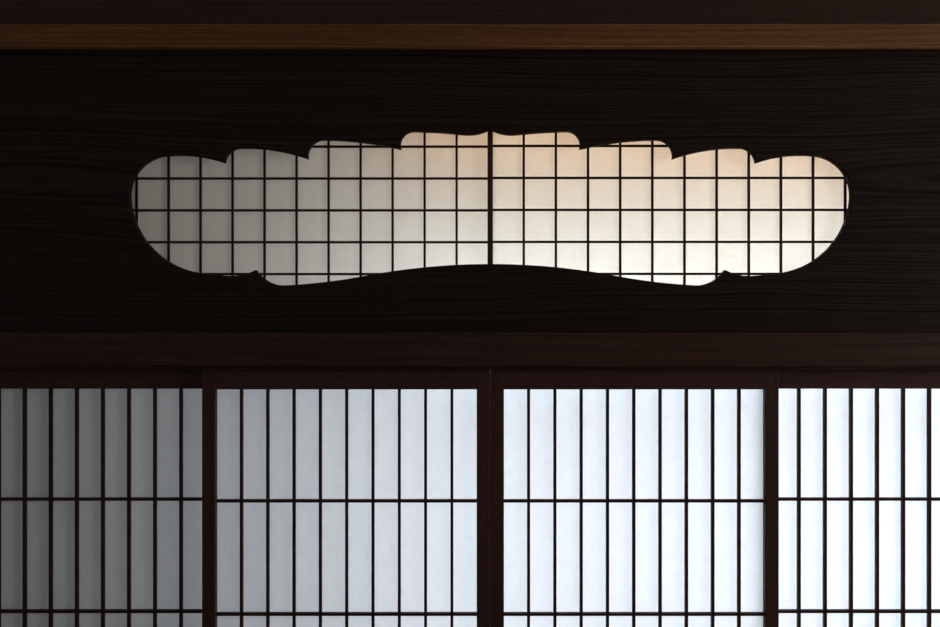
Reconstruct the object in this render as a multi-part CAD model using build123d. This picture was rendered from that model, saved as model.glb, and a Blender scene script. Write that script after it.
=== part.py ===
from build123d import *
from dataclasses import dataclass
import os

# Four sliding paper screens in a timber frame. Over them is a cloud window with two small screens behind it.
# Millimetres. X runs along the opening, to the right as seen from the room. The room is on the -Y side.
# Z is up, and the origin is the middle of the sill's underside.

# Opening and frame
opening_width = 3516.0      # clear, between the posts
opening_height = 1900.0     # clear, from the sill to the head rail
post_size = 120.0           # square posts
post_chamfer = 4.0
post_tenon_width = 60.0
post_tenon_thickness = 30.0
post_tenon_height = 45.0
sill_height = 45.0
sill_depth = 108.0
sill_groove_depth = 3.0
head_rail_height = 40.0
head_rail_depth = 108.0
head_groove_depth = 15.0
head_beam_height = 180.0
housing_depth = 10.0        # sill, head rail and board are let into the posts this far
joint_play = 0.1            # all round a tenon or a housed end

# Face beam and cornice strip, both nailed to the room side
face_beam_height = 102.0
face_beam_thickness = 25.0
face_beam_top_thickness = 21.0
head_rail_lip = 11.5        # the head rail shows this far below the face beam
cornice_height = 74.0
cornice_thickness = 25.0
cornice_chamfer = 5.0

# Tracks of the four screens
groove_width = 21.0
track_spacing = 33.0
tongue_play = 1.0           # each side of a tongue in its groove
running_gap = 0.2           # between a bottom tongue and the floor of its groove
end_gap = 0.3               # between a screen and what it meets at the end of its travel

# Screens
screen_thickness = 30.0
screen_stile = 42.0
screen_top_rail = 60.0
screen_bottom_rail = 69.0
screen_sill_gap = 1.0
screen_head_gap = 4.0       # lifting the screen by this much frees it from the sill
screen_head_tongue = 10.0   # how far the top tongue goes into its groove
screen_bar_face = 9.0
screen_bar_depth = 16.5
screen_columns = 10
screen_rows = 5
screen_chamfer = 1.5
screen_tenon = 22.0
screen_tenon_thickness = 10.0
screen_bar_tenon = 8.0
screen_paper = 0.5
screen_paper_lap = 10.0     # onto the stiles and rails
pull_width = 13.0
pull_height = 84.0
pull_depth = 7.0
pull_centre = 820.0         # above the screen's lower edge

# Board with the cloud window
board_height = 948.5        # clear, from the head rail to the head beam
board_thickness = 30.0
board_front = -46.0
board_groove = 8.0          # the board is let into the head rail and the head beam this far
window_rise = 221.5         # from the head rail's top to the window's lowest line
window_chamfer = 2.0

# Small screens behind the board, between two studs
stud_width = 45.0
transom_depth = 38.0        # studs and transom rails, back from the board
transom_rail_height = 36.0
transom_rail_rise = 100.0   # from the head rail's top to the lower transom rail
transom_lower_groove = 2.5
transom_upper_groove = 9.0
transom_groove_width = 8.0
transom_track_spacing = 15.0
transom_front_gap = 4.0     # between the board and the nearer small screen
transom_tongue_play = 0.75
transom_thickness = 12.0
transom_stile = 16.5
transom_top_rail = 20.0
transom_bottom_rail = 24.0
transom_sill_gap = 0.7
transom_head_gap = 3.5
transom_head_tongue = 5.0
transom_cell_width = 93.5
transom_cell_height = 93.0
transom_bar_face = 7.5
transom_bar_depth = 8.0
transom_columns = 12
transom_rows = 6
transom_chamfer = 0.8
transom_tenon = 9.0
transom_tenon_thickness = 4.0
transom_bar_tenon = 4.0     # how far a bar runs into the rebate
transom_paper = 0.4
transom_paper_lap = 6.0

# Shared by both kinds of screen
rail_setback = 0.5          # rails lie this far behind the stiles' faces, front and back
rail_tenon_shoulder = 0.25  # share of a rail's height above and below its tenon
paper_rebate_depth = 1.5
paper_play = 0.5
past = 1.0                  # how far a cut runs past the face that it opens

# Heights and widths that follow
half_opening = opening_width / 2
half_overall = half_opening + post_size
sill_top = sill_height
head_under = sill_top + opening_height
head_top = head_under + head_rail_height
beam_under = head_top + board_height
beam_top = beam_under + head_beam_height
board_back = board_front + board_thickness
room_track = -track_spacing / 2
far_track = track_spacing / 2


@dataclass
class Screen:
    """The sizes of one kind of sliding screen."""
    width: float
    height: float
    thickness: float
    stile: float
    top_rail: float
    bottom_rail: float
    tongue: float
    top_tongue: float
    bottom_tongue: float
    columns: int
    rows: int
    bar_face: float
    bar_depth: float
    chamfer: float
    tenon: float
    tenon_thickness: float
    bar_tenon: float
    mortised: bool
    paper: float
    paper_lap: float

    @property
    def front(self):
        return -self.thickness / 2

    @property
    def back(self):
        return self.thickness / 2

    @property
    def paper_face(self):
        return self.back - paper_rebate_depth

    @property
    def bar_front(self):
        return self.paper_face - self.bar_depth

    @property
    def inner_top(self):
        return self.height - self.top_rail

    @property
    def upright_centres(self):
        return spaced(self.stile, self.width - self.stile, self.columns, self.bar_face)

    @property
    def level_centres(self):
        return spaced(self.bottom_rail, self.inner_top, self.rows, self.bar_face)


def spaced(start, end, cells, bar):
    """Centres of the bars that share a span into equal clear cells."""
    cell = (end - start - (cells - 1) * bar) / cells
    return [start + (i + 1) * (cell + bar) - bar / 2 for i in range(cells - 1)]


def about(centre, size, play=0.0):
    """The low and high ends of a size about its centre, with play added at each end."""
    return centre - size / 2 - play, centre + size / 2 + play


def block(xs, ys, zs):
    """A box from its low and high values along each axis."""
    centre = Pos(sum(xs) / 2, sum(ys) / 2, sum(zs) / 2)
    return centre * Box(xs[1] - xs[0], ys[1] - ys[0], zs[1] - zs[0])


def extruded(points, plane, start, end):
    """A closed outline of straight runs on a plane, pushed from start to end along the plane's normal."""
    face = make_face(Polyline(*points, close=True))
    return extrude(plane.offset(start) * face, end - start)


def along_x(points, start, end):
    """points are (y, z)."""
    return extruded(points, Plane.YZ, start, end)


def along_z(points, start, end):
    """points are (x, y)."""
    return extruded(points, Plane.XY, start, end)


def notched(start, end, depths, crossings, notch, from_front):
    """Outline of a lattice bar seen from the side, as (along, depth) points.

    from_front says whether the notch for crossing bar i comes from the front. The others come from the back.
    """
    front, back = depths
    middle = (front + back) / 2
    pairs = [(about(centre, notch), from_front(i)) for i, centre in enumerate(crossings)]
    points = [(start, front)]
    for (a, b), cut in pairs:
        if cut:
            points += [(a, front), (a, middle), (b, middle), (b, front)]
    points += [(end, front), (end, back)]
    for (a, b), cut in reversed(pairs):
        if not cut:
            points += [(b, back), (b, middle), (a, middle), (a, back)]
    return points + [(start, back)]


# Sliding screens

def paper_recess(s):
    """The shallow rebate round the lattice, on the back, that takes the paper's edge."""
    margin = s.paper_lap + paper_play
    return block(
        (s.stile - margin, s.width - s.stile + margin),
        (s.paper_face, s.back + past),
        (s.bottom_rail - margin, s.inner_top + margin),
    )


def bar_seats(s):
    """What the bars' ends need cut from the stiles and rails: a mortise each, or one rebate all round."""
    reach = s.bar_tenon + joint_play
    depths = (s.bar_front - joint_play, s.paper_face)
    xs = (s.stile - reach, s.width - s.stile + reach)
    zs = (s.bottom_rail - reach, s.inner_top + reach)
    if not s.mortised:
        return [block(xs, depths, zs)]
    uprights = [block(about(x, s.bar_face, joint_play), depths, zs) for x in s.upright_centres]
    levels = [block(xs, depths, about(z, s.bar_face, joint_play)) for z in s.level_centres]
    return uprights + levels


def rail_tenon(low, high, play=0.0):
    """Height range of the tenon of a rail from low to high."""
    shoulder = (high - low) * rail_tenon_shoulder
    return low + shoulder - play, high - shoulder + play


def stile(s, left, pull):
    """An upright side of a screen, with its tongues, mortises and finger pull."""
    c = s.chamfer
    f, b = s.front, s.back
    section = [(0, b), (0, f + c), (c, f), (s.stile - c, f), (s.stile, f + c), (s.stile, b)]
    body = along_z(section, -s.bottom_tongue, s.height + s.top_tongue)
    cuts = [paper_recess(s)] + bar_seats(s)
    face = (-past, s.stile + past)
    front_edge, back_edge = about(0, s.tongue)
    for zs in ((-s.bottom_tongue, 0), (s.height, s.height + s.top_tongue)):
        cuts.append(block(face, (f - past, front_edge), zs))
        cuts.append(block(face, (back_edge, b + past), zs))
    floor = s.stile - s.tenon - joint_play
    for low, high in ((0, s.bottom_rail), (s.inner_top, s.height)):
        ys = about(0, s.tenon_thickness, joint_play)
        cuts.append(block((floor, s.stile), ys, rail_tenon(low, high, joint_play)))
    if pull:
        recess = extrude(Plane.XZ * SlotOverall(pull_height, pull_width, rotation=90), -pull_depth)
        cuts.append(Pos(s.stile / 2, f, pull_centre) * recess)
    body = body - cuts
    if left:
        return body
    return Pos(s.width, 0, 0) * mirror(body, Plane.YZ)


def rail(s, top):
    """The top or bottom piece between the stiles, with its tongue, its tenons and the bars' mortises."""
    f, b = s.front + rail_setback, s.back - rail_setback
    c = s.chamfer
    if top:
        inner, outer, tip, outward = s.inner_top, s.height, s.height + s.top_tongue, 1
    else:
        inner, outer, tip, outward = s.bottom_rail, 0, -s.bottom_tongue, -1
    front_edge, back_edge = about(0, s.tongue)
    section = [
        (b, inner), (f + c, inner), (f, inner + outward * c), (f, outer), (front_edge, outer),
        (front_edge, tip), (back_edge, tip), (back_edge, outer), (b, outer),
    ]
    start, end = s.stile, s.width - s.stile
    ys = about(0, s.tenon_thickness)
    zs = rail_tenon(min(inner, outer), max(inner, outer))
    tenons = [block((start - s.tenon, start), ys, zs), block((end, end + s.tenon), ys, zs)]
    return along_x(section, start, end) + tenons - [paper_recess(s)] - bar_seats(s)


def upright_bars(s):
    """Upright bars. Each is notched at every level bar, from the front and from the back in turn."""
    bars = []
    start, end = s.bottom_rail - s.bar_tenon, s.inner_top + s.bar_tenon
    depths = (s.bar_front, s.paper_face)
    for i, x in enumerate(s.upright_centres):
        outline = notched(start, end, depths, s.level_centres, s.bar_face, lambda j: (i + j) % 2 == 0)
        points = [(depth, along) for along, depth in outline]
        bars.append(along_x(points, *about(x, s.bar_face)))
    return bars


def level_bars(s):
    """Level bars, notched the other way, so that both lie in one plane."""
    bars = []
    start, end = s.stile - s.bar_tenon, s.width - s.stile + s.bar_tenon
    depths = (s.bar_front, s.paper_face)
    for j, z in enumerate(s.level_centres):
        outline = notched(start, end, depths, s.upright_centres, s.bar_face, lambda i: (i + j) % 2 == 1)
        bars.append(along_z(outline, *about(z, s.bar_face)))
    return bars


def paper(s):
    """One sheet, glued to the back of the lattice and lapped onto the frame."""
    return block(
        (s.stile - s.paper_lap, s.width - s.stile + s.paper_lap),
        (s.paper_face, s.paper_face + s.paper),
        (s.bottom_rail - s.paper_lap, s.inner_top + s.paper_lap),
    )


def screen_pieces(s, left_pull=False, right_pull=False):
    """Every piece of one screen, by name. The screen's lower left corner is at the origin."""
    return {
        "left_stile": [stile(s, True, left_pull)],
        "right_stile": [stile(s, False, right_pull)],
        "top_rail": [rail(s, True)],
        "bottom_rail": [rail(s, False)],
        "upright_bars": upright_bars(s),
        "level_bars": level_bars(s),
        "paper": [paper(s)],
    }


def large_screen():
    """One of the four screens. Neighbours overlap by one stile, and the middle two meet edge to edge."""
    return Screen(
        width=(opening_width - 4 * end_gap + 2 * screen_stile) / 4,
        height=opening_height - screen_sill_gap - screen_head_gap,
        thickness=screen_thickness,
        stile=screen_stile,
        top_rail=screen_top_rail,
        bottom_rail=screen_bottom_rail,
        tongue=groove_width - 2 * tongue_play,
        top_tongue=screen_head_gap + screen_head_tongue,
        bottom_tongue=screen_sill_gap + sill_groove_depth - running_gap,
        columns=screen_columns,
        rows=screen_rows,
        bar_face=screen_bar_face,
        bar_depth=screen_bar_depth,
        chamfer=screen_chamfer,
        tenon=screen_tenon,
        tenon_thickness=screen_tenon_thickness,
        bar_tenon=screen_bar_tenon,
        mortised=True,
        paper=screen_paper,
        paper_lap=screen_paper_lap,
    )


def small_screen():
    """One of the two small screens behind the board. They overlap by one stile in the middle.

    Their thin bars lie in a rebate, not in mortises.
    """
    inner_width = transom_columns * transom_cell_width + (transom_columns - 1) * transom_bar_face
    inner_height = transom_rows * transom_cell_height + (transom_rows - 1) * transom_bar_face
    return Screen(
        width=inner_width + 2 * transom_stile,
        height=inner_height + transom_top_rail + transom_bottom_rail,
        thickness=transom_thickness,
        stile=transom_stile,
        top_rail=transom_top_rail,
        bottom_rail=transom_bottom_rail,
        tongue=transom_groove_width - 2 * transom_tongue_play,
        top_tongue=transom_head_gap + transom_head_tongue,
        bottom_tongue=transom_sill_gap + transom_lower_groove - running_gap,
        columns=transom_columns,
        rows=transom_rows,
        bar_face=transom_bar_face,
        bar_depth=transom_bar_depth,
        chamfer=transom_chamfer,
        tenon=transom_tenon,
        tenon_thickness=transom_tenon_thickness,
        bar_tenon=transom_bar_tenon,
        mortised=False,
        paper=transom_paper,
        paper_lap=transom_paper_lap,
    )


small = small_screen()
large = large_screen()

# Places in the frame that follow from the screens
bay_width = 2 * small.width - small.stile + 2 * end_gap
transom_lower_under = head_top + transom_rail_rise
transom_lower_top = transom_lower_under + transom_rail_height
small_base = transom_lower_top + transom_sill_gap
transom_upper_under = small_base + small.height + transom_head_gap
near_small_track = board_back + transom_front_gap + transom_thickness / 2
far_small_track = near_small_track + transom_track_spacing
transom_depths = (board_back, board_back + transom_depth)
board_slot = (board_front - joint_play, board_back + joint_play)
housed_end = half_opening + housing_depth - joint_play


# Frame

def post(side):
    """side is -1 for the left post and 1 for the right one."""
    half = post_size / 2
    c = post_chamfer
    section = [
        (-half + c, -half), (half - c, -half), (half, -half + c), (half, half - c),
        (half - c, half), (-half + c, half), (-half, half - c), (-half, -half + c),
    ]
    x = side * (half_opening + half)
    body = Pos(x, 0, 0) * along_z(section, 0, beam_under)
    body = body + post_tenon(side)
    housing = sorted((side * half_opening, side * (half_opening + housing_depth)))
    rail_heights = about(head_under + head_rail_height / 2, head_rail_height, joint_play)
    return body - [
        block(housing, about(0, sill_depth, joint_play), (0, sill_top + joint_play)),
        block(housing, about(0, head_rail_depth, joint_play), rail_heights),
        block(housing, board_slot, (head_top, beam_under)),
    ]


def post_tenon(side, play=0.0):
    """The post's tenon in the head beam, or its mortise where play is given."""
    x = side * (half_opening + post_size / 2)
    return block(
        about(x, post_tenon_width, play),
        about(0, post_tenon_thickness, play),
        (beam_under, beam_under + post_tenon_height + play),
    )


def grooved(body, tracks, width, zs, reach):
    """body with a straight groove along X for each track."""
    return body - [block((-reach, reach), about(y, width), zs) for y in tracks]


def sill():
    body = block((-housed_end, housed_end), about(0, sill_depth), (0, sill_top))
    zs = (sill_top - sill_groove_depth, sill_top)
    return grooved(body, (room_track, far_track), groove_width, zs, half_opening)


def head_rail():
    """Grooved below for the screens' tongues, and above for the board."""
    body = block((-housed_end, housed_end), about(0, head_rail_depth), (head_under, head_top))
    seat = block((-housed_end, housed_end), board_slot, (head_top - board_groove - joint_play, head_top))
    zs = (head_under, head_under + head_groove_depth)
    return grooved(body - seat, (room_track, far_track), groove_width, zs, half_opening)


def head_beam():
    """The beam over the posts, grooved below for the board."""
    body = block((-half_overall, half_overall), about(0, post_size), (beam_under, beam_top))
    reach = half_opening + housing_depth
    seat = block((-reach, reach), board_slot, (beam_under, beam_under + board_groove + joint_play))
    return body - [seat, post_tenon(-1, joint_play), post_tenon(1, joint_play)]


def face_beam():
    """A board on edge across the posts. Between them its lower part is thicker, to reach the head rail."""
    back = -post_size / 2
    low = head_under + head_rail_lip
    high = low + face_beam_height
    foot, top = back - face_beam_thickness, back - face_beam_top_thickness
    body = along_x([(back, low), (foot, low), (top, high), (back, high)], -half_overall, half_overall)
    filler = block(about(0, opening_width, -joint_play), (back, -head_rail_depth / 2), (low, head_top))
    return body + filler


def cornice_strip():
    """A strip on the head beam's lower edge, with its front lower corner taken off."""
    back = -post_size / 2
    front = back - cornice_thickness
    low, high = beam_under, beam_under + cornice_height
    c = cornice_chamfer
    section = [(back, low), (front + c, low), (front, low + c), (front, high), (back, high)]
    return along_x(section, -half_overall, half_overall)


def lobe(slope, points):
    """Arcs through (x, z) points, each tangent to the one before. The first starts at slope degrees."""
    direction = Vector(1, 0, 0).rotate(Axis.Y, -slope)
    arcs = []
    for (x, z), (next_x, next_z) in zip(points, points[1:]):
        arc = TangentArc((x, 0, z), (next_x, 0, next_z), tangent=direction)
        direction = arc % 1
        arcs.append(arc)
    return arcs


def cloud_window():
    """The window's face on the XZ plane, from the middle of the window's lowest line.

    Its right half is five lobes that meet in cusps: three on top, the round end, and the long one below,
    which starts level at the middle. The left half is its mirror image.
    """
    right = lobe(-29, [(0, 485), (82, 468.5), (236.5, 478.5), (277, 422.5)])
    right += lobe(13.5, [(277, 422.5), (517, 452.5), (567, 392.5)])
    right += lobe(19.5, [(567, 392.5), (778.5, 426.5), (827, 380)])
    right += lobe(19.5, [(827, 380), (1011, 402.5), (1123, 268.5), (910.5, 39), (811.5, 28.5), (730, 47)])
    right += lobe(0, [(0, 65.5), (387, 29), (636.5, -1), (730, 47)])
    return make_face(right + [mirror(arc, Plane.YZ) for arc in right])


def transom_board():
    """The board, with the front edge of its window eased."""
    zs = (head_top - board_groove, beam_under + board_groove)
    body = block((-housed_end, housed_end), (board_front, board_back), zs)
    place = Pos(0, board_front, head_top + window_rise)
    window = place * cloud_window()
    opening = extrude(window, board_thickness + past, dir=(0, 1, 0))
    wide = offset(window, window_chamfer, kind=Kind.INTERSECTION)
    easing = loft([wide.faces()[0], Pos(0, window_chamfer, 0) * window.faces()[0]], ruled=True)
    return body - [opening, easing]


def transom_stud(side):
    """An upright behind the board that carries the transom rails."""
    inner = side * bay_width / 2
    body = block(sorted((inner, inner + side * stud_width)), transom_depths, (head_top, beam_under))
    housing = sorted((inner, inner + side * housing_depth))
    return body - [
        block(housing, transom_depths, (low - joint_play, low + transom_rail_height + joint_play))
        for low in (transom_lower_under, transom_upper_under)
    ]


def transom_rail(low, groove):
    """A rail across the bay, from low up. groove is the height range of its two grooves."""
    reach = bay_width / 2 + housing_depth - joint_play
    body = block((-reach, reach), transom_depths, (low, low + transom_rail_height))
    return grooved(body, (near_small_track, far_small_track), transom_groove_width, groove, bay_width / 2)


def frame_pieces():
    lower_groove = (transom_lower_top - transom_lower_groove, transom_lower_top)
    upper_groove = (transom_upper_under, transom_upper_under + transom_upper_groove)
    return {
        "post_left": post(-1),
        "post_right": post(1),
        "sill": sill(),
        "head_rail": head_rail(),
        "head_beam": head_beam(),
        "face_beam": face_beam(),
        "cornice_strip": cornice_strip(),
        "transom_board": transom_board(),
        "transom_stud_left": transom_stud(-1),
        "transom_stud_right": transom_stud(1),
        "transom_rail_lower": transom_rail(transom_lower_under, lower_groove),
        "transom_rail_upper": transom_rail(transom_upper_under, upper_groove),
    }


# The whole part

def place_screens():
    """Every screen's pieces in place. Screens 2 and 3 run in the room-side track, 1 and 4 behind them.

    Each large screen has its finger pull in the stile that leads when it opens.
    """
    base = sill_top + screen_sill_gap
    at_post = half_opening - end_gap
    at_stud = bay_width / 2 - end_gap
    with_left_pull = screen_pieces(large, left_pull=True)
    with_right_pull = screen_pieces(large, right_pull=True)
    plain = screen_pieces(small)
    places = {
        "screen_1": (with_left_pull, (-at_post, far_track, base)),
        "screen_2": (with_right_pull, (-end_gap - large.width, room_track, base)),
        "screen_3": (with_left_pull, (end_gap, room_track, base)),
        "screen_4": (with_right_pull, (at_post - large.width, far_track, base)),
        "transom_left": (plain, (-at_stud, far_small_track, small_base)),
        "transom_right": (plain, (at_stud - small.width, near_small_track, small_base)),
    }
    return {
        name + "_" + piece: [Pos(*place) * solid for solid in solids]
        for name, (pieces, place) in places.items()
        for piece, solids in pieces.items()
    }


def main():
    os.makedirs("parts", exist_ok=True)
    pieces = {name: [shape] for name, shape in frame_pieces().items()}
    pieces.update(place_screens())
    for name, solids in pieces.items():
        shape = Compound(solids) if len(solids) > 1 else solids[0]
        export_step(shape, "parts/" + name + ".step")
    print(len(pieces), "nodes,", 2 * half_overall, "wide and", beam_top, "high")
    print("large screens travel", half_opening - large.width - 2 * end_gap)
    print("small screens travel", bay_width - small.width - 2 * end_gap)


main()
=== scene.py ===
import bpy
import math
import numpy as np
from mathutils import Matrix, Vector


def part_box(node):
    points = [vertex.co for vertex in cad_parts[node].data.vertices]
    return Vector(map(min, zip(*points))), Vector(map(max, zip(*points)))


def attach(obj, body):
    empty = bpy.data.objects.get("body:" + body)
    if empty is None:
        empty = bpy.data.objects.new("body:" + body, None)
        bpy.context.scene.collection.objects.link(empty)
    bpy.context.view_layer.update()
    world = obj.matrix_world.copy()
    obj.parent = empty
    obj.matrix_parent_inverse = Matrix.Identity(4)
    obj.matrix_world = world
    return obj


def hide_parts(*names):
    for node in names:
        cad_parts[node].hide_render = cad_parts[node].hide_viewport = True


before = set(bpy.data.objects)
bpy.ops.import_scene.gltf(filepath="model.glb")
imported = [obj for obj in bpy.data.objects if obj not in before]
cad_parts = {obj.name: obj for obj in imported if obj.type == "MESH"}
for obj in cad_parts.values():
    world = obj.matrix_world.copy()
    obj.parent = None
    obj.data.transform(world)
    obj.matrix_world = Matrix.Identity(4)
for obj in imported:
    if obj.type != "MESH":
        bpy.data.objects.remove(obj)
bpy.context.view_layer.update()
scene = bpy.context.scene
screens = ["screen_1", "screen_2", "screen_3", "screen_4"]
smallScreens = ["transom_left", "transom_right"]


# Shader helpers

def addNode(tree, kind, inputs=None, **settings):
    made = tree.nodes.new("ShaderNode" + kind)
    for key, value in settings.items():
        setattr(made, key, value)
    for key, value in (inputs or {}).items():
        if isinstance(value, bpy.types.NodeSocket):
            tree.links.new(value, made.inputs[key])
        else:
            made.inputs[key].default_value = value
    return made


def newMaterial(name):
    material = bpy.data.materials.new(name)
    material.use_nodes = True
    material.node_tree.nodes.clear()
    return material, material.node_tree


def finishMaterial(tree, shader):
    output = addNode(tree, "OutputMaterial")
    tree.links.new(shader, output.inputs["Surface"])


def objectPlace(tree):
    return addNode(tree, "TexCoord").outputs["Object"]


def calc(tree, operation, a, b=0.0, c=0.0):
    return addNode(tree, "Math", {0: a, 1: b, 2: c}, operation=operation).outputs[0]


def vector(tree, operation, a, b):
    return addNode(tree, "VectorMath", {0: a, 1: b}, operation=operation).outputs[0]


def ramp(tree, value, low, high, start=0.0, end=1.0):
    # value from low..high to start..end, with soft ends
    made = addNode(tree, "MapRange", {
        "Value": value, "From Min": low, "From Max": high, "To Min": start, "To Max": end,
    }, interpolation_type="SMOOTHSTEP")
    return made.outputs["Result"]


def noise(tree, place, scale=1.0, detail=2.0, roughness=0.5):
    made = addNode(
        tree, "TexNoise", {"Vector": place, "Scale": scale, "Detail": detail, "Roughness": roughness},
    )
    return made.outputs["Fac"]


def noiseAlong(tree, value, scale, detail):
    # noise along one line
    made = addNode(
        tree, "TexNoise", {"W": calc(tree, "MULTIPLY", value, scale), "Scale": 1.0, "Detail": detail},
        noise_dimensions="1D",
    )
    return made.outputs["Fac"]


def mixColour(tree, share, a, b):
    made = addNode(tree, "Mix", data_type="RGBA")
    for index, value in ((0, share), (6, a), (7, b)):
        if isinstance(value, bpy.types.NodeSocket):
            tree.links.new(value, made.inputs[index])
        else:
            made.inputs[index].default_value = value if index == 0 else (*value, 1.0)
    return made.outputs[2]


def scaled(colour, share):
    return tuple(share * part for part in colour)


# Timber

finishes = {
    # dark and light are the stain's two tones, worn is what an arris rubs down to
    # ring is a year's growth in metres, sway how far the rings wander, figure how much they show
    # pith is how far off the tree's middle lies, for grain along X or Z
    "frame": dict(
        dark=(0.0050, 0.0018, 0.0011), light=(0.027, 0.0103, 0.0058), worn=(0.060, 0.026, 0.015),
        ring=0.0042, sway=0.05, figure=0.55, rough=0.55, shine=0.065,
        pith={"X": (1.6, 0.45), "Z": (0.4, 0.5)},
    ),
    "sill": dict(
        dark=(0.022, 0.009, 0.0055), light=(0.085, 0.038, 0.021), worn=(0.15, 0.075, 0.042),
        ring=0.004, sway=0.03, figure=0.6, rough=0.45, shine=0.2,
        pith={"X": (0.5, -0.25)},
    ),
    "cornice": dict(
        dark=(0.038, 0.015, 0.0052), light=(0.13, 0.055, 0.019), worn=(0.27, 0.13, 0.06),
        ring=0.0035, sway=0.03, figure=0.5, rough=0.6, shine=0.07,
        pith={"X": (2.7, 0.3)},
    ),
    "board": dict(
        dark=(0.0026, 0.0014, 0.0010), light=(0.0135, 0.0072, 0.0050), worn=(0.027, 0.014, 0.009),
        ring=0.0085, sway=0.11, figure=0.75, rough=0.58, shine=0.04,
        pith={"X": (2.52, 0.16)},
    ),
    "screen": dict(
        dark=(0.0070, 0.0025, 0.0019), light=(0.038, 0.0138, 0.0104), worn=(0.070, 0.028, 0.019),
        ring=0.0019, sway=0.012, figure=0.5, rough=0.5, shine=0.075,
        pith={"X": (3.9, 0.8), "Z": (2.6, 0.7)},
    ),
    "lattice": dict(
        dark=(0.0052, 0.0017, 0.0013), light=(0.024, 0.0076, 0.0056), worn=(0.047, 0.017, 0.012),
        ring=0.0015, sway=0.008, figure=0.45, rough=0.5, shine=0.06,
        pith={"X": (4.4, 0.5), "Z": (3.1, 0.6)},
    ),
}

grain = {
    # fineness across and along the grain, in waves a metre
    "wander": (1.3, 0.5),
    "streak": (60.0, 0.8),
    "fibre": (330.0, 4.0),
    "patch": (3.0, 1.1),
    "pores": (800.0, 20.0),
    # rings: the late wood darkens through a year, and ends at once
    "unevenYears": (0.23, 3.2),     # how often the rings' widths change, and by how many years
    "lateWood": (0.25, 0.93),
    "winter": (0.95, 1.0),
    "strongYears": (0.6, 0.3, 0.7),  # how often they change, and the noise from faint to strong
    "faintYear": 0.25,
    # tone: how much each pattern lightens the stain, and the sums that give the dark and the light tone
    "fibreTone": 0.75,
    "streakTone": 0.75,
    "patchTone": 0.5,
    "darkToLight": (0.35, 1.35),
    "poreEdge": (0.34, 0.42),
    "poreDepth": 0.6,
    "poreTone": 0.4,         # the pores' colour, as a share of the dark tone
    # surface
    "roughSpread": 0.25,
    "rubbed": 0.1,           # how much smoother an arris is
    "fibreHeight": 0.5,
    "lateHeight": 0.25,
    "poreHeight": 0.35,
    "bump": (0.35, 0.0003),  # strength, and height in metres
}


def grainSpace(tree, axis, pith):
    # object coordinates turned so that Z runs along the grain, and moved off the tree's middle
    parts = addNode(tree, "SeparateXYZ", {0: objectPlace(tree)}).outputs
    order = {"X": (2, 1, 0), "Z": (0, 1, 2)}[axis]
    turned = addNode(tree, "CombineXYZ", {i: parts[part] for i, part in enumerate(order)}).outputs[0]
    return vector(tree, "ADD", turned, (-pith[0], -pith[1], 0.0))


def stretched(tree, place, fineness):
    # the coordinate on the grain's two scales, across and along
    across, along = fineness
    return vector(tree, "MULTIPLY", place, (across, across, along))


def growthRings(tree, bent, look):
    # 1 in the dark late wood: the distance from the pith, in years of uneven width, and some years stronger
    parts = addNode(tree, "SeparateXYZ", {0: bent}).outputs
    radius = calc(tree, "SQRT", calc(tree, "ADD", calc(tree, "MULTIPLY", parts[0], parts[0]),
                                     calc(tree, "MULTIPLY", parts[1], parts[1])))
    years = calc(tree, "DIVIDE", radius, look["ring"])
    often, far = grain["unevenYears"]
    years = calc(tree, "ADD", years, calc(tree, "MULTIPLY", noiseAlong(tree, years, often, 1.0), far))
    season = calc(tree, "FRACT", years)
    summer, winter = ramp(tree, season, *grain["lateWood"]), ramp(tree, season, *grain["winter"], 1.0, 0.0)
    often, faint, strong = grain["strongYears"]
    strength = ramp(tree, noiseAlong(tree, years, often, 0.0), faint, strong, grain["faintYear"], 1.0)
    return calc(tree, "MULTIPLY", calc(tree, "MULTIPLY", summer, winter), strength)


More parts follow.
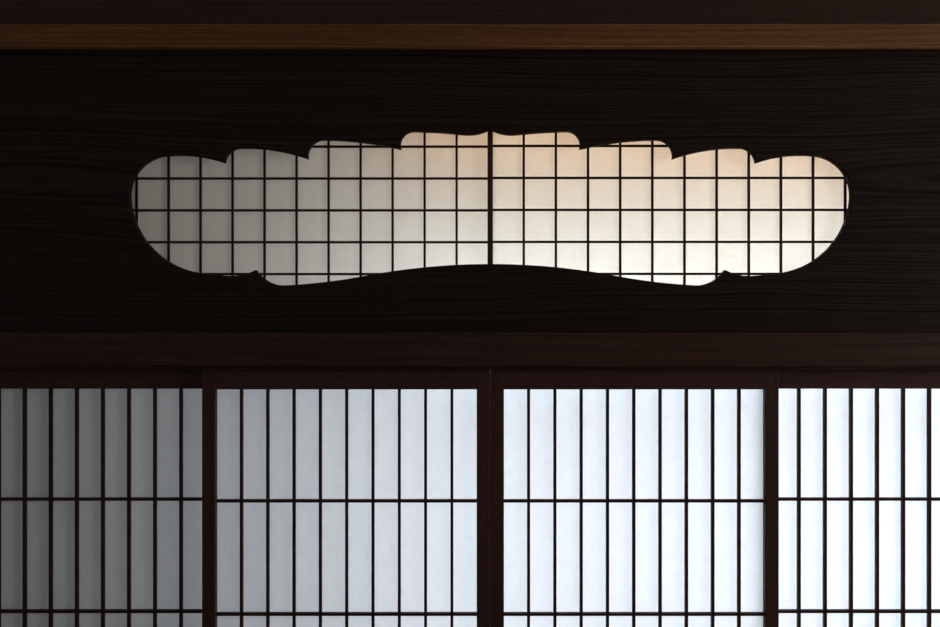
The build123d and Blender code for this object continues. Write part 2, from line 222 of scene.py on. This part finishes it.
def timberMaterial(finish, axis, arris=False):
    look = finishes[finish]
    material, tree = newMaterial(finish + axis + ("Arris" if arris else "Timber"))
    place = grainSpace(tree, axis, look["pith"][axis])

    # the pith wanders along the trunk, and everything that follows the grain wanders with it
    wander = addNode(tree, "TexNoise", {"Vector": stretched(tree, place, grain["wander"]), "Scale": 1.0})
    sway = vector(tree, "SUBTRACT", wander.outputs["Color"], (0.5, 0.5, 0.5))
    sway = addNode(tree, "VectorMath", {0: sway, "Scale": look["sway"]}, operation="SCALE").outputs[0]
    bent = vector(tree, "ADD", place, sway)
    late = growthRings(tree, bent, look)

    # long streaks and short fibres along the grain, broad patches where the stain took differently
    streak = noise(tree, stretched(tree, bent, grain["streak"]), detail=3.0, roughness=0.6)
    fibre = noise(tree, stretched(tree, bent, grain["fibre"]), detail=4.0, roughness=0.65)
    patch = noise(tree, stretched(tree, place, grain["patch"]), detail=3.0, roughness=0.6)
    pores = noise(tree, stretched(tree, bent, grain["pores"]), detail=1.0)
    pores = ramp(tree, pores, *grain["poreEdge"], 1.0, 0.0)

    tone = calc(tree, "MULTIPLY", streak, grain["streakTone"])
    tone = calc(tree, "MULTIPLY_ADD", fibre, grain["fibreTone"], tone)
    tone = calc(tree, "MULTIPLY_ADD", patch, grain["patchTone"], tone)
    tone = calc(tree, "SUBTRACT", tone, calc(tree, "MULTIPLY", late, look["figure"]))
    share = ramp(tree, tone, *grain["darkToLight"])
    colour = mixColour(tree, share, look["dark"], look["worn"] if arris else look["light"])
    inPores = calc(tree, "MULTIPLY", pores, grain["poreDepth"])
    colour = mixColour(tree, inPores, colour, scaled(look["dark"], grain["poreTone"]))

    base = look["rough"] - (grain["rubbed"] if arris else 0.0)
    rough = calc(tree, "MULTIPLY_ADD", calc(tree, "SUBTRACT", patch, share), grain["roughSpread"], base)
    height = calc(tree, "MULTIPLY", late, grain["lateHeight"])
    height = calc(tree, "MULTIPLY_ADD", fibre, grain["fibreHeight"], height)
    height = calc(tree, "SUBTRACT", height, calc(tree, "MULTIPLY", pores, grain["poreHeight"]))
    strength, depth = grain["bump"]
    bump = addNode(tree, "Bump", {"Height": height, "Strength": strength, "Distance": depth})
    shader = addNode(tree, "BsdfPrincipled", {
        "Base Color": colour, "Roughness": rough, "Normal": bump.outputs["Normal"],
        "Specular IOR Level": look["shine"],
    })
    finishMaterial(tree, shader.outputs[0])
    return material


easedArris = {
    "weld": 0.00002,              # points nearer than this are one
    "flat": math.radians(1.0),    # faces that meet flatter than this are one
    "sharp": math.radians(32.0),  # an edge sharper than this is eased
    "segments": 2,
}


def outerArrises():
    # marks the sharp edges that stand out, so that inner corners of grooves and housings stay crisp
    tree = bpy.data.node_groups.new("outerArrises", "GeometryNodeTree")
    tree.interface.new_socket("Geometry", in_out="INPUT", socket_type="NodeSocketGeometry")
    tree.interface.new_socket("Geometry", in_out="OUTPUT", socket_type="NodeSocketGeometry")
    start = tree.nodes.new("NodeGroupInput")
    turn = tree.nodes.new("GeometryNodeInputMeshEdgeAngle")
    sharp = addNode(tree, "Math", {1: easedArris["sharp"]}, operation="GREATER_THAN")
    store = tree.nodes.new("GeometryNodeStoreNamedAttribute")
    store.data_type = "FLOAT"
    store.domain = "EDGE"
    store.inputs["Name"].default_value = "bevel_weight_edge"
    end = tree.nodes.new("NodeGroupOutput")
    tree.links.new(start.outputs[0], store.inputs["Geometry"])
    tree.links.new(turn.outputs["Signed Angle"], sharp.inputs[0])
    tree.links.new(sharp.outputs[0], store.inputs["Value"])
    tree.links.new(store.outputs["Geometry"], end.inputs[0])
    return tree


def dressTimber(piece, plain, rubbed, marks, arris):
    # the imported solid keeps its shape, and its sharp arrises are eased and get the rubbed finish
    piece.data.materials.clear()
    piece.data.materials.append(plain)
    piece.data.materials.append(rubbed)
    weld = piece.modifiers.new("weld", "WELD")
    weld.merge_threshold = easedArris["weld"]
    flat = piece.modifiers.new("flat", "DECIMATE")
    flat.decimate_type = "DISSOLVE"
    flat.angle_limit = easedArris["flat"]
    piece.modifiers.new("marks", "NODES").node_group = marks
    ease = piece.modifiers.new("ease", "BEVEL")
    ease.width = arris
    ease.segments = easedArris["segments"]
    ease.limit_method = "WEIGHT"
    ease.use_clamp_overlap = False
    ease.material = 1


def ofScreens(owners, *ends):
    return [owner + "_" + end for owner in owners for end in ends]


timberWork = [
    # finish, way of the grain, easing of the arrises in metres, pieces
    ("frame", "Z", 0.0018, ["post_left", "post_right", "transom_stud_left", "transom_stud_right"]),
    ("frame", "X", 0.0012, ["head_beam", "head_rail", "face_beam"]),
    ("frame", "X", 0.0012, ["transom_rail_lower", "transom_rail_upper"]),
    ("sill", "X", 0.0015, ["sill"]),
    ("cornice", "X", 0.0012, ["cornice_strip"]),
    ("board", "X", 0.0008, ["transom_board"]),
    ("screen", "Z", 0.0005, ofScreens(screens, "left_stile", "right_stile")),
    ("screen", "Z", 0.0004, ofScreens(smallScreens, "left_stile", "right_stile")),
    ("screen", "X", 0.0005, ofScreens(screens, "top_rail", "bottom_rail")),
    ("screen", "X", 0.0004, ofScreens(smallScreens, "top_rail", "bottom_rail")),
    ("lattice", "Z", 0.0004, ofScreens(screens + smallScreens, "upright_bars")),
    ("lattice", "X", 0.0004, ofScreens(screens + smallScreens, "level_bars")),
]

arrisMarks = outerArrises()
woods = {}
for finish, axis, arris, names in timberWork:
    if (finish, axis) not in woods:
        woods[finish, axis] = timberMaterial(finish, axis), timberMaterial(finish, axis, arris=True)
    for name in names:
        dressTimber(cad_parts[name], *woods[finish, axis], arrisMarks, arris)
print("timber dressed:", sum(len(row[3]) for row in timberWork), "pieces in", len(woods), "woods")


# Paper

paperLook = {
    # lap is how far the paper is pasted onto the stiles and rails, pucker how far a cell may swell or sink
    # across and up are the steps in a cell
    "large": dict(
        columns=10, rows=5, bar=0.009, lap=0.010, across=8, up=22, pucker=0.00014, slot="screen_paper",
        front=(0.80, 0.80, 0.79), through=(0.92, 0.94, 0.97),
    ),
    "small": dict(
        columns=12, rows=6, bar=0.0075, lap=0.006, across=8, up=8, pucker=0.0001, slot="transom_paper",
        front=(0.80, 0.78, 0.74), through=(0.96, 0.94, 0.90),
    ),
    "throughShare": 0.7,     # how much of the light on it goes into the sheet, the rest is turned back
    "strands": [
        # long, middling and hair-fine fibres: fineness, shift, width, strength
        (34.0, 3.0, 0.007, 1.0),
        (74.8, 9.0, 0.012, 1.0),
        (210.0, 5.0, 0.03, 0.5),
    ],
    "strandColour": (0.96, 0.96, 0.96),
    "strandShow": 0.5,
    "bare": (26.0, 0.38, 0.6),  # where there are no fibres: fineness, and the noise from bare to full
    "pulp": 420.0,
    "cloud": 38.0,
    # how much each one holds back of the light, and what the thickest paper lets through
    "pulpDense": 0.16,
    "cloudDense": 0.14,
    "strandDense": 0.2,
    "thickTone": 0.45,
    "rough": 0.85,
    "shine": 0.2,
    "pulpHeight": 0.5,
    "bump": (0.15, 0.0002),     # strength, and height in metres
}


def strand(tree, flat, fineness, shift, width, strength):
    # a fibre lies where a slow noise crosses its middle value
    moved = vector(tree, "ADD", flat, (shift, shift, shift))
    level = noise(tree, moved, scale=fineness, detail=1.5, roughness=0.4)
    off = calc(tree, "ABSOLUTE", calc(tree, "SUBTRACT", level, 0.5))
    return ramp(tree, off, 0.0, width, strength, 0.0)


def paperMaterial(name, look):
    material, tree = newMaterial(name)
    flat = vector(tree, "MULTIPLY", objectPlace(tree), (1.0, 0.0, 1.0))
    fibres = 0.0
    for row in paperLook["strands"]:
        fibres = calc(tree, "MAXIMUM", fibres, strand(tree, flat, *row))
    fineness, bare, full = paperLook["bare"]
    fibres = calc(tree, "MULTIPLY", fibres, ramp(tree, noise(tree, flat, scale=fineness), bare, full))
    pulp = noise(tree, flat, scale=paperLook["pulp"], detail=4.0, roughness=0.7)
    cloud = noise(tree, flat, scale=paperLook["cloud"], detail=4.0, roughness=0.6)
    dense = calc(tree, "MULTIPLY", cloud, paperLook["cloudDense"])
    dense = calc(tree, "MULTIPLY_ADD", pulp, paperLook["pulpDense"], dense)
    dense = calc(tree, "MULTIPLY_ADD", fibres, paperLook["strandDense"], dense)
    through = mixColour(tree, dense, look["through"], scaled(look["through"], paperLook["thickTone"]))
    shown = calc(tree, "MULTIPLY", fibres, paperLook["strandShow"])
    front = mixColour(tree, shown, look["front"], paperLook["strandColour"])
    height = calc(tree, "ADD", calc(tree, "MULTIPLY", pulp, paperLook["pulpHeight"]), fibres)
    strength, depth = paperLook["bump"]
    bump = addNode(tree, "Bump", {"Height": height, "Strength": strength, "Distance": depth})
    bump = bump.outputs["Normal"]
    skin = addNode(tree, "BsdfPrincipled", {
        "Base Color": front, "Roughness": paperLook["rough"], "Normal": bump,
        "Specular IOR Level": paperLook["shine"],
    })
    glow = addNode(tree, "BsdfTranslucent", {"Color": through, "Normal": bump})
    mixed = addNode(tree, "MixShader", {
        0: paperLook["throughShare"], 1: skin.outputs[0], 2: glow.outputs[0],
    })
    finishMaterial(tree, mixed.outputs[0])
    return material


def cellWidth(start, end, count, bar):
    return (end - start - (count - 1) * bar) / count


def cellEdges(start, end, count, bar, steps, lap):
    # places along one side: steps in each clear cell, none inside a bar, and the lap at both ends
    cell = cellWidth(start, end, count, bar)
    lows = start + np.arange(count) * (cell + bar)
    inner = lows[:, None] + cell * np.linspace(0.0, 1.0, steps + 1)[None, :]
    return np.concatenate([[start - lap], inner.ravel(), [end + lap]])


def puckered(places, start, end, count, bar):
    # a half sine wave in each cell, 0 at its bars, and the cell's number
    cell = cellWidth(start, end, count, bar)
    number = np.clip(np.floor((places - start) / (cell + bar)), 0, count - 1).astype(int)
    share = np.clip((places - start - number * (cell + bar)) / cell, 0.0, 1.0)
    return np.sin(np.pi * share), number


def makePaper(owner, look, material, rng):
    low, high = (np.array(corner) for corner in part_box(owner + "_paper"))
    (left, _, foot), (right, _, head) = low + look["lap"], high - look["lap"]
    xs = cellEdges(left, right, look["columns"], look["bar"], look["across"], look["lap"])
    zs = cellEdges(foot, head, look["rows"], look["bar"], look["up"], look["lap"])
    bulgeX, column = puckered(xs, left, right, look["columns"], look["bar"])
    bulgeZ, row = puckered(zs, foot, head, look["rows"], look["bar"])
    # each cell swells or sinks by its own amount, as a product of its two waves, the upright one flattened
    amount = rng.uniform(-1.0, 1.0, (look["columns"], look["rows"])) * look["pucker"]
    swell = amount[column[:, None], row[None, :]] * np.outer(bulgeX, np.sqrt(bulgeZ))
    x, z = np.meshgrid(xs, zs, indexing="ij")
    return closedSheet(owner + "_paper_sheet", x, z, low[1] + swell, high[1] + swell, material)


def gridFaces(index):
    corners = [index[:-1, :-1], index[1:, :-1], index[1:, 1:], index[:-1, 1:]]
    return np.stack(corners, axis=-1).reshape(-1, 4)


def addPiece(name, points, faces, material):
    mesh = bpy.data.meshes.new(name)
    mesh.from_pydata(points.tolist(), [], faces.tolist())
    mesh.materials.append(material)
    mesh.update()
    piece = bpy.data.objects.new(name, mesh)
    scene.collection.objects.link(piece)
    return piece


def closedSheet(name, x, z, nearY, farY, material):
    # two grids face to face, a sheet's thickness apart, with a rim between their outer rows
    near = np.stack([x, nearY, z], axis=-1).reshape(-1, 3)
    far = np.stack([x, farY, z], axis=-1).reshape(-1, 3)
    index = np.arange(x.size).reshape(x.shape)
    front = gridFaces(index)
    back = front[:, ::-1] + x.size
    edge = np.concatenate([index[:, 0], index[-1, 1:], index[-2::-1, -1], index[0, -2:0:-1]])
    following = np.roll(edge, -1)
    rim = np.stack([following, edge, edge + x.size, following + x.size], axis=-1)
    piece = addPiece(name, np.concatenate([near, far]), np.concatenate([front, back, rim]), material)
    piece.data.polygons.foreach_set("use_smooth", np.ones(len(piece.data.polygons), bool))
    return piece


rng = np.random.default_rng(11)
for kind, owners in (("large", screens), ("small", smallScreens)):
    washi = paperMaterial(kind + "Paper", paperLook[kind])
    for owner in owners:
        sheet = makePaper(owner, paperLook[kind], washi, rng)
        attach(sheet, owner)
        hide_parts(owner + "_paper")
print("paper hung:", len(screens) + len(smallScreens), "sheets")


# Floor, light and camera

floorLook = {
    "half": 14.0,
    "squares": 28,
    "colour": (0.55, 0.545, 0.535),
    "pale": (0.90, 0.895, 0.885),
    "glow": 0.5,          # share of the paleness that the camera sees whatever the light
    "fade": (4.5, 11.0),  # from here to here, in metres off the middle, it passes into white
    "mottle": 3.0,
    "mottleTones": (1.04, 1.02),
    "rough": 0.75,
    "shine": 0.2,
}

ambient = {"strength": 0.08, "colour": (1.0, 0.96, 0.91, 1.0)}
white = (1.0, 1.0, 1.0, 1.0)

lamps = {
    # sizes in metres, power in watts, spread in degrees
    "frontLamp": dict(place=(4.2, -2.2, 2.5), aim=(0.7, 0.0, 1.8), size=(1.8, 1.8),
                      power=112.0, spread=180.0, colour=(1.0, 0.93, 0.86)),
    "rearLamp": dict(place=(1.13, 0.68, 1.4), aim=(1.13, 0.0, 1.4), size=(3.3, 1.62),
                     power=44.0, spread=150.0, colour=(0.92, 0.965, 1.0)),
    "transomLamp": dict(place=(1.12, 0.36, 2.0), aim=(1.12, 0.0, 2.3), size=(2.8, 0.2),
                        power=8.1, spread=140.0, colour=(0.82, 0.94, 1.0)),
    "eavesLamp": dict(place=(1.05, 0.38, 2.80), aim=(1.05, 0.0, 2.72), size=(2.6, 0.2),
                      power=5.1, spread=150.0, colour=(1.0, 0.48, 0.08)),
}

view = {
    "place": (-0.09, -3.5315, 2.118),
    "lens": 42.97,
    "sensor": 36.0,
    "shift": 0.009,
}


def makeFloor():
    side = np.linspace(-floorLook["half"], floorLook["half"], floorLook["squares"] + 1)
    x, y = np.meshgrid(side, side, indexing="ij")
    points = np.stack([x, y, np.zeros_like(x)], axis=-1).reshape(-1, 3)
    material, tree = newMaterial("floorPaint")
    place = objectPlace(tree)
    mottle = noise(tree, place, scale=floorLook["mottle"], detail=4.0)
    darkSpots, paleSpots = floorLook["mottleTones"]
    colour = mixColour(tree, mottle, floorLook["colour"], scaled(floorLook["colour"], darkSpots))
    paleColour = mixColour(tree, mottle, floorLook["pale"], scaled(floorLook["pale"], paleSpots))
    paint = addNode(tree, "BsdfPrincipled", {
        "Base Color": colour, "Roughness": floorLook["rough"], "Specular IOR Level": floorLook["shine"],
    })
    pale = addNode(tree, "Emission", {"Color": paleColour, "Strength": 1.0})
    far = addNode(tree, "Emission", {"Color": white, "Strength": 1.0})
    distance = addNode(tree, "VectorMath", {0: place}, operation="LENGTH").outputs["Value"]
    away = ramp(tree, distance, *floorLook["fade"])
    seen = addNode(tree, "LightPath").outputs["Is Camera Ray"]
    lifted = addNode(tree, "MixShader", {
        0: calc(tree, "MULTIPLY", seen, floorLook["glow"]), 1: paint.outputs[0], 2: pale.outputs[0],
    })
    faded = addNode(tree, "MixShader", {
        0: calc(tree, "MULTIPLY", seen, away), 1: lifted.outputs[0], 2: far.outputs[0],
    })
    finishMaterial(tree, faded.outputs[0])
    faces = gridFaces(np.arange(x.size).reshape(x.shape))
    addPiece("floor", points, faces, material)


def makeWorld():
    world = bpy.data.worlds.new("studio")
    scene.world = world
    world.use_nodes = True
    tree = world.node_tree
    tree.nodes.clear()
    rays = addNode(tree, "LightPath").outputs
    # light that soaks through paper is a transmission ray as well, but a diffuse one, and gets the plain level
    notDiffuse = calc(tree, "SUBTRACT", 1.0, rays["Is Diffuse Ray"])
    clear = calc(tree, "MULTIPLY", rays["Is Transmission Ray"], notDiffuse)
    seen = calc(tree, "MAXIMUM", rays["Is Camera Ray"], calc(tree, "MAXIMUM", rays["Is Glossy Ray"], clear))
    soft = addNode(tree, "Background", {"Color": ambient["colour"], "Strength": ambient["strength"]})
    bright = addNode(tree, "Background", {"Color": white, "Strength": 1.0})
    both = addNode(tree, "MixShader", {0: seen, 1: soft.outputs[0], 2: bright.outputs[0]})
    output = addNode(tree, "OutputWorld")
    tree.links.new(both.outputs[0], output.inputs["Surface"])


def makeLamp(name, look):
    light = bpy.data.lights.new(name, "AREA")
    light.shape = "RECTANGLE"
    light.size, light.size_y = look["size"]
    light.energy = look["power"]
    light.spread = math.radians(look["spread"])
    light.color = look["colour"]
    lamp = bpy.data.objects.new(name, light)
    lamp.location = look["place"]
    lamp.rotation_mode = "QUATERNION"
    lamp.rotation_quaternion = (Vector(look["aim"]) - Vector(look["place"])).to_track_quat("-Z", "Y")
    lamp.visible_camera = False
    scene.collection.objects.link(lamp)


def makeCamera():
    camera = bpy.data.cameras.new("camera")
    camera.sensor_width = view["sensor"]
    camera.lens = view["lens"]
    camera.shift_x = view["shift"]
    body = bpy.data.objects.new("camera", camera)
    body.location = view["place"]
    body.rotation_euler = (math.radians(90.0), 0.0, 0.0)
    scene.collection.objects.link(body)
    scene.camera = body


makeFloor()
makeWorld()
for name, look in lamps.items():
    makeLamp(name, look)
makeCamera()
scene.view_settings.view_transform = "Standard"
print("studio ready:", len(lamps), "lamps")
